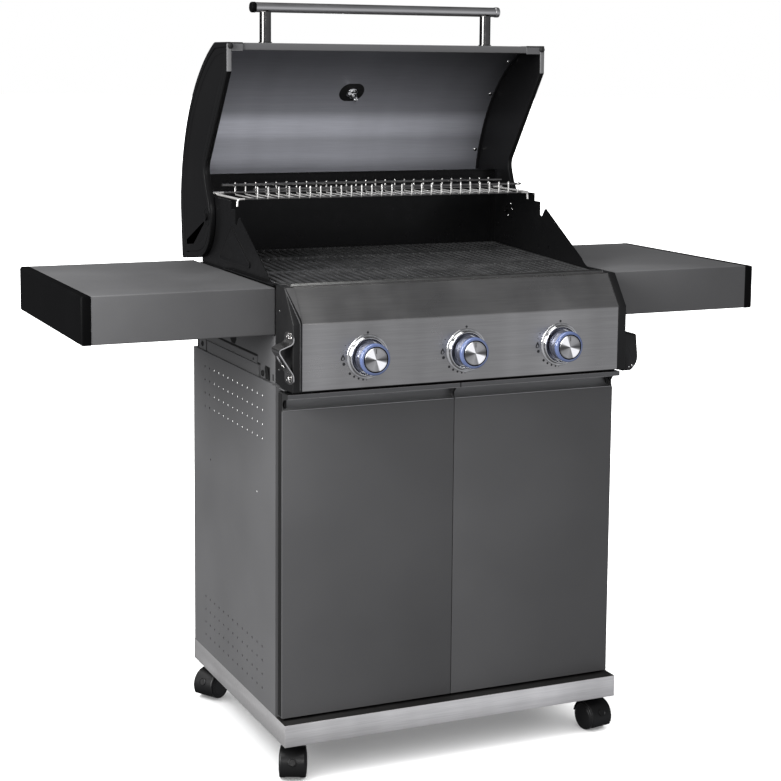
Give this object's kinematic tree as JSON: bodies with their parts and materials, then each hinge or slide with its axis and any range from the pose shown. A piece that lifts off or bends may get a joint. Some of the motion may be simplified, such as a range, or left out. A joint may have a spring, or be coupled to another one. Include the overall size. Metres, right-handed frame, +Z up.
{
  "type": "gas barbecue grill",
  "caption": "Gas barbecue grill on a two-door cabinet with casters, fixed side shelves, turning knobs, lift-out grates and warming rack, and a hinged lid shown open.",
  "frame": {"origin": "on the floor, under the middle of the whole grill's width and depth, with the lid open", "axes": "+X to the right as seen by someone facing the doors, -Y out of the doors and knobs towards that person, +Y towards the back, +Z up"},
  "size_m": [1.3, 0.6387, 1.3295],
  "materials": {
    "brushed_stainless": "brushed",
    "grey_powder_coat": "satin powder coat",
    "side_powder_coat": "satin powder coat",
    "black_paint": "satin",
    "black_enamel": "gloss enamel",
    "galvanised": "dull zinc",
    "chromed": "polished",
    "cast_iron": "matte enamel",
    "black_plastic": "matte",
    "knob_plastic": "satin metallised",
    "brass": "plain",
    "ceramic": "glazed",
    "rubber": "matte",
    "handle_steel": "satin",
    "wire": "plated",
    "caster_plastic": "satin"
  },
  "bodies": {
    "cabinet": {"base_tray": "brushed_stainless", "base_cross_channels": "galvanised", "caster_stems": "galvanised", "cabinet_side_left": "side_powder_coat", "cabinet_side_right": "side_powder_coat", "cabinet_back_panel": "side_powder_coat", "cabinet_cross_rails": "side_powder_coat", "support_plates": "side_powder_coat", "door_magnets": "black_plastic", "hinge_pins": "galvanised", "control_panel": "brushed_stainless", "panel_ends": "black_plastic", "knob_bezels": "chromed", "gas_valves": "brass", "gas_manifold": "galvanised", "burners": "brushed_stainless", "flame_tamers": "brushed_stainless", "igniters": "ceramic", "firebox_side_left": "black_enamel", "firebox_side_right": "black_enamel", "firebox_back": "black_enamel", "firebox_front": "brushed_stainless", "firebox_bottom": "galvanised", "shelf_left": "grey_powder_coat", "shelf_right": "grey_powder_coat", "shelf_caps": "black_plastic", "shelf_brackets": "galvanised", "bottle_opener": "brushed_stainless", "light_battery_box": "black_plastic"},
    "lid": {"lid_skin": "brushed_stainless", "lid_end_left": "black_paint", "lid_end_right": "black_paint", "lid_front_rail": "brushed_stainless", "lid_handle_bar": "handle_steel", "lid_handle_posts": "handle_steel", "lid_handle_caps": "black_plastic", "lid_bumpers": "rubber", "thermometer": "chromed"},
    "door_left": {"door_left": "grey_powder_coat", "door_grip_left": "brushed_stainless"},
    "door_right": {"door_right": "grey_powder_coat", "door_grip_right": "brushed_stainless"},
    "grate_left": {"grate_left": "cast_iron"},
    "grate_right": {"grate_right": "cast_iron"},
    "warming_rack": {"warming_rack": "wire"},
    "grease_tray": {"grease_tray": "galvanised"},
    "valve_left": {"valve_stem_left": "brass"},
    "knob_left": {"knob_left": "knob_plastic"},
    "valve_middle": {"valve_stem_middle": "brass"},
    "knob_middle": {"knob_middle": "knob_plastic"},
    "valve_right": {"valve_stem_right": "brass"},
    "knob_right": {"knob_right": "knob_plastic"},
    "caster_front_left": {"caster_hood_front_left": "caster_plastic"},
    "wheels_front_left": {"caster_wheels_front_left": "caster_plastic"},
    "caster_front_right": {"caster_hood_front_right": "caster_plastic"},
    "wheels_front_right": {"caster_wheels_front_right": "caster_plastic"},
    "caster_rear_left": {"caster_hood_rear_left": "caster_plastic"},
    "wheels_rear_left": {"caster_wheels_rear_left": "caster_plastic"},
    "caster_rear_right": {"caster_hood_rear_right": "caster_plastic"},
    "wheels_rear_right": {"caster_wheels_rear_right": "caster_plastic"}
  },
  "joints": [
    {"name": "lid_hinge", "type": "hinge", "parent": "cabinet", "child": "lid", "pos_m": [0, 0.1621, 0.9335], "axis": [-1, 0, 0], "range_deg": [-82, 0]},
    {"name": "door_left_hinge", "type": "hinge", "parent": "cabinet", "child": "door_left", "pos_m": [-0.3125, -0.2304, 0.37], "axis": [0, 0, -1], "range_deg": [0, 110]},
    {"name": "door_right_hinge", "type": "hinge", "parent": "cabinet", "child": "door_right", "pos_m": [0.3125, -0.2304, 0.37], "axis": [0, 0, 1], "range_deg": [0, 110]},
    {"name": "knob_left_push", "type": "slide", "parent": "cabinet", "child": "valve_left", "axis": [0, 1, 0], "range_m": [0, 0.003], "stiffness_N_per_m": 400},
    {"name": "knob_left_turn", "type": "hinge", "parent": "valve_left", "child": "knob_left", "pos_m": [-0.184, -0.2999, 0.7321], "axis": [0, -1, 0], "range_deg": [0, 190]},
    {"name": "knob_middle_push", "type": "slide", "parent": "cabinet", "child": "valve_middle", "axis": [0, 1, 0], "range_m": [0, 0.003], "stiffness_N_per_m": 400},
    {"name": "knob_middle_turn", "type": "hinge", "parent": "valve_middle", "child": "knob_middle", "pos_m": [0, -0.2999, 0.7321], "axis": [0, -1, 0], "range_deg": [0, 190]},
    {"name": "knob_right_push", "type": "slide", "parent": "cabinet", "child": "valve_right", "axis": [0, 1, 0], "range_m": [0, 0.003], "stiffness_N_per_m": 400},
    {"name": "knob_right_turn", "type": "hinge", "parent": "valve_right", "child": "knob_right", "pos_m": [0.184, -0.2999, 0.7321], "axis": [0, -1, 0], "range_deg": [0, 190]},
    {"name": "caster_front_left_swivel", "type": "hinge", "parent": "cabinet", "child": "caster_front_left", "pos_m": [-0.293, -0.2239, 0.05], "axis": [0, 0, 1], "continuous": true},
    {"name": "wheels_front_left_roll", "type": "hinge", "parent": "caster_front_left", "child": "wheels_front_left", "pos_m": [-0.29788, -0.23486, 0.025], "axis": [0.9135, -0.4067, 0], "continuous": true},
    {"name": "caster_front_right_swivel", "type": "hinge", "parent": "cabinet", "child": "caster_front_right", "pos_m": [0.293, -0.2239, 0.05], "axis": [0, 0, 1], "continuous": true},
    {"name": "wheels_front_right_roll", "type": "hinge", "parent": "caster_front_right", "child": "wheels_front_right", "pos_m": [0.29508, -0.23572, 0.025], "axis": [0.9848, 0.1736, 0], "continuous": true},
    {"name": "caster_rear_left_swivel", "type": "hinge", "parent": "cabinet", "child": "caster_rear_left", "pos_m": [-0.293, 0.1961, 0.05], "axis": [0, 0, 1], "continuous": true},
    {"name": "wheels_rear_left_roll", "type": "hinge", "parent": "caster_rear_left", "child": "wheels_rear_left", "pos_m": [-0.30329, 0.18992, 0.025], "axis": [0.515, -0.8572, 0], "continuous": true},
    {"name": "caster_rear_right_swivel", "type": "hinge", "parent": "cabinet", "child": "caster_rear_right", "pos_m": [0.293, 0.1961, 0.05], "axis": [0, 0, 1], "continuous": true},
    {"name": "wheels_rear_right_roll", "type": "hinge", "parent": "caster_rear_right", "child": "wheels_rear_right", "pos_m": [0.29807, 0.18522, 0.025], "axis": [0.9063, 0.4226, 0], "continuous": true},
    {"name": "grate_left_lift", "type": "slide", "parent": "cabinet", "child": "grate_left", "axis": [0, 0, 1], "range_m": [0, 0.06]},
    {"name": "grate_right_lift", "type": "slide", "parent": "cabinet", "child": "grate_right", "axis": [0, 0, 1], "range_m": [0, 0.06]},
    {"name": "warming_rack_lift", "type": "slide", "parent": "cabinet", "child": "warming_rack", "axis": [0, 0, 1], "range_m": [0, 0.06]},
    {"name": "grease_tray_pull", "type": "slide", "parent": "cabinet", "child": "grease_tray", "axis": [0, 1, 0], "range_m": [0, 0.35]}
  ]
}
